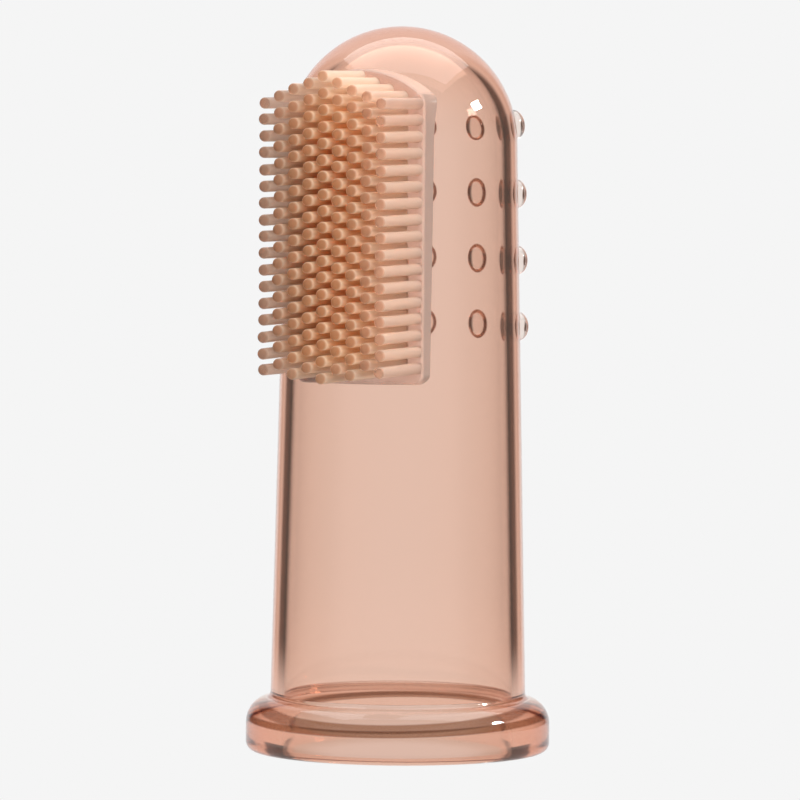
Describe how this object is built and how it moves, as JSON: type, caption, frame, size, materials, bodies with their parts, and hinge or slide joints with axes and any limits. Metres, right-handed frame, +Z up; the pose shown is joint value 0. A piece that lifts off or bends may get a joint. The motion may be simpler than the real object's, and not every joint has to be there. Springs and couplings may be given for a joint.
{
  "type": "pet finger toothbrush",
  "caption": "Soft silicone fingertip sleeve with a dense bristle brush on one side, low massage nubs on the other and a thick rim round the open mouth.",
  "frame": {"origin": "centre of the open mouth, in the plane that the rim rests on", "axes": "+Z up the bore to the fingertip dome, bristles point along -Y, +X completes the right-handed frame"},
  "size_m": [0.023, 0.0287, 0.055],
  "materials": {
    "silicone_sleeve": "clear pinkish tan silicone, smooth and glossy, translucent",
    "silicone_brush": "the same silicone, deeper in tone where bristles stand close together"
  },
  "bodies": {
    "sleeve": {"finger_sleeve": "silicone_sleeve", "fingertip_dome": "silicone_sleeve", "mouth_rim": "silicone_sleeve", "brush_pad": "silicone_brush", "nub_column_1": "silicone_sleeve", "nub_column_2": "silicone_sleeve", "nub_column_3": "silicone_sleeve", "nub_column_4": "silicone_sleeve"},
    "bristles_5": {"bristle_column_5": "silicone_brush"},
    "bristles_4": {"bristle_column_4": "silicone_brush"},
    "bristles_6": {"bristle_column_6": "silicone_brush"},
    "bristles_3": {"bristle_column_3": "silicone_brush"},
    "bristles_7": {"bristle_column_7": "silicone_brush"},
    "bristles_2": {"bristle_column_2": "silicone_brush"},
    "bristles_8": {"bristle_column_8": "silicone_brush"},
    "bristles_1": {"bristle_column_1": "silicone_brush"},
    "bristles_9": {"bristle_column_9": "silicone_brush"}
  },
  "joints": [
    {"name": "bristle_flex_5", "type": "hinge", "parent": "sleeve", "child": "bristles_5", "pos_m": [0, -0.00955, 0.04012], "axis": [0, 0, 1], "range_deg": [-25, 25], "stiffness_Nm_per_rad": 0.0003},
    {"name": "bristle_flex_4", "type": "hinge", "parent": "sleeve", "child": "bristles_4", "pos_m": [-0.00114, -0.00955, 0.04025], "axis": [0, 0, 1], "range_deg": [-25, 25], "stiffness_Nm_per_rad": 0.0003},
    {"name": "bristle_flex_6", "type": "hinge", "parent": "sleeve", "child": "bristles_6", "pos_m": [0.00114, -0.00955, 0.04025], "axis": [0, 0, 1], "range_deg": [-25, 25], "stiffness_Nm_per_rad": 0.0003},
    {"name": "bristle_flex_3", "type": "hinge", "parent": "sleeve", "child": "bristles_3", "pos_m": [-0.00228, -0.00955, 0.03975], "axis": [0, 0, 1], "range_deg": [-25, 25], "stiffness_Nm_per_rad": 0.0003},
    {"name": "bristle_flex_7", "type": "hinge", "parent": "sleeve", "child": "bristles_7", "pos_m": [0.00228, -0.00955, 0.03975], "axis": [0, 0, 1], "range_deg": [-25, 25], "stiffness_Nm_per_rad": 0.0003},
    {"name": "bristle_flex_2", "type": "hinge", "parent": "sleeve", "child": "bristles_2", "pos_m": [-0.00342, -0.00955, 0.03988], "axis": [0, 0, 1], "range_deg": [-25, 25], "stiffness_Nm_per_rad": 0.0003},
    {"name": "bristle_flex_8", "type": "hinge", "parent": "sleeve", "child": "bristles_8", "pos_m": [0.00342, -0.00955, 0.03988], "axis": [0, 0, 1], "range_deg": [-25, 25], "stiffness_Nm_per_rad": 0.0003},
    {"name": "bristle_flex_1", "type": "hinge", "parent": "sleeve", "child": "bristles_1", "pos_m": [-0.00456, -0.00955, 0.03939], "axis": [0, 0, 1], "range_deg": [-25, 25], "stiffness_Nm_per_rad": 0.0003},
    {"name": "bristle_flex_9", "type": "hinge", "parent": "sleeve", "child": "bristles_9", "pos_m": [0.00456, -0.00955, 0.03939], "axis": [0, 0, 1], "range_deg": [-25, 25], "stiffness_Nm_per_rad": 0.0003}
  ],
  "couplings": [
    {"joint": "bristle_flex_4", "follows": "bristle_flex_5", "ratio": 1},
    {"joint": "bristle_flex_6", "follows": "bristle_flex_5", "ratio": 1},
    {"joint": "bristle_flex_3", "follows": "bristle_flex_5", "ratio": 1},
    {"joint": "bristle_flex_7", "follows": "bristle_flex_5", "ratio": 1},
    {"joint": "bristle_flex_2", "follows": "bristle_flex_5", "ratio": 1},
    {"joint": "bristle_flex_8", "follows": "bristle_flex_5", "ratio": 1},
    {"joint": "bristle_flex_1", "follows": "bristle_flex_5", "ratio": 1},
    {"joint": "bristle_flex_9", "follows": "bristle_flex_5", "ratio": 1}
  ]
}
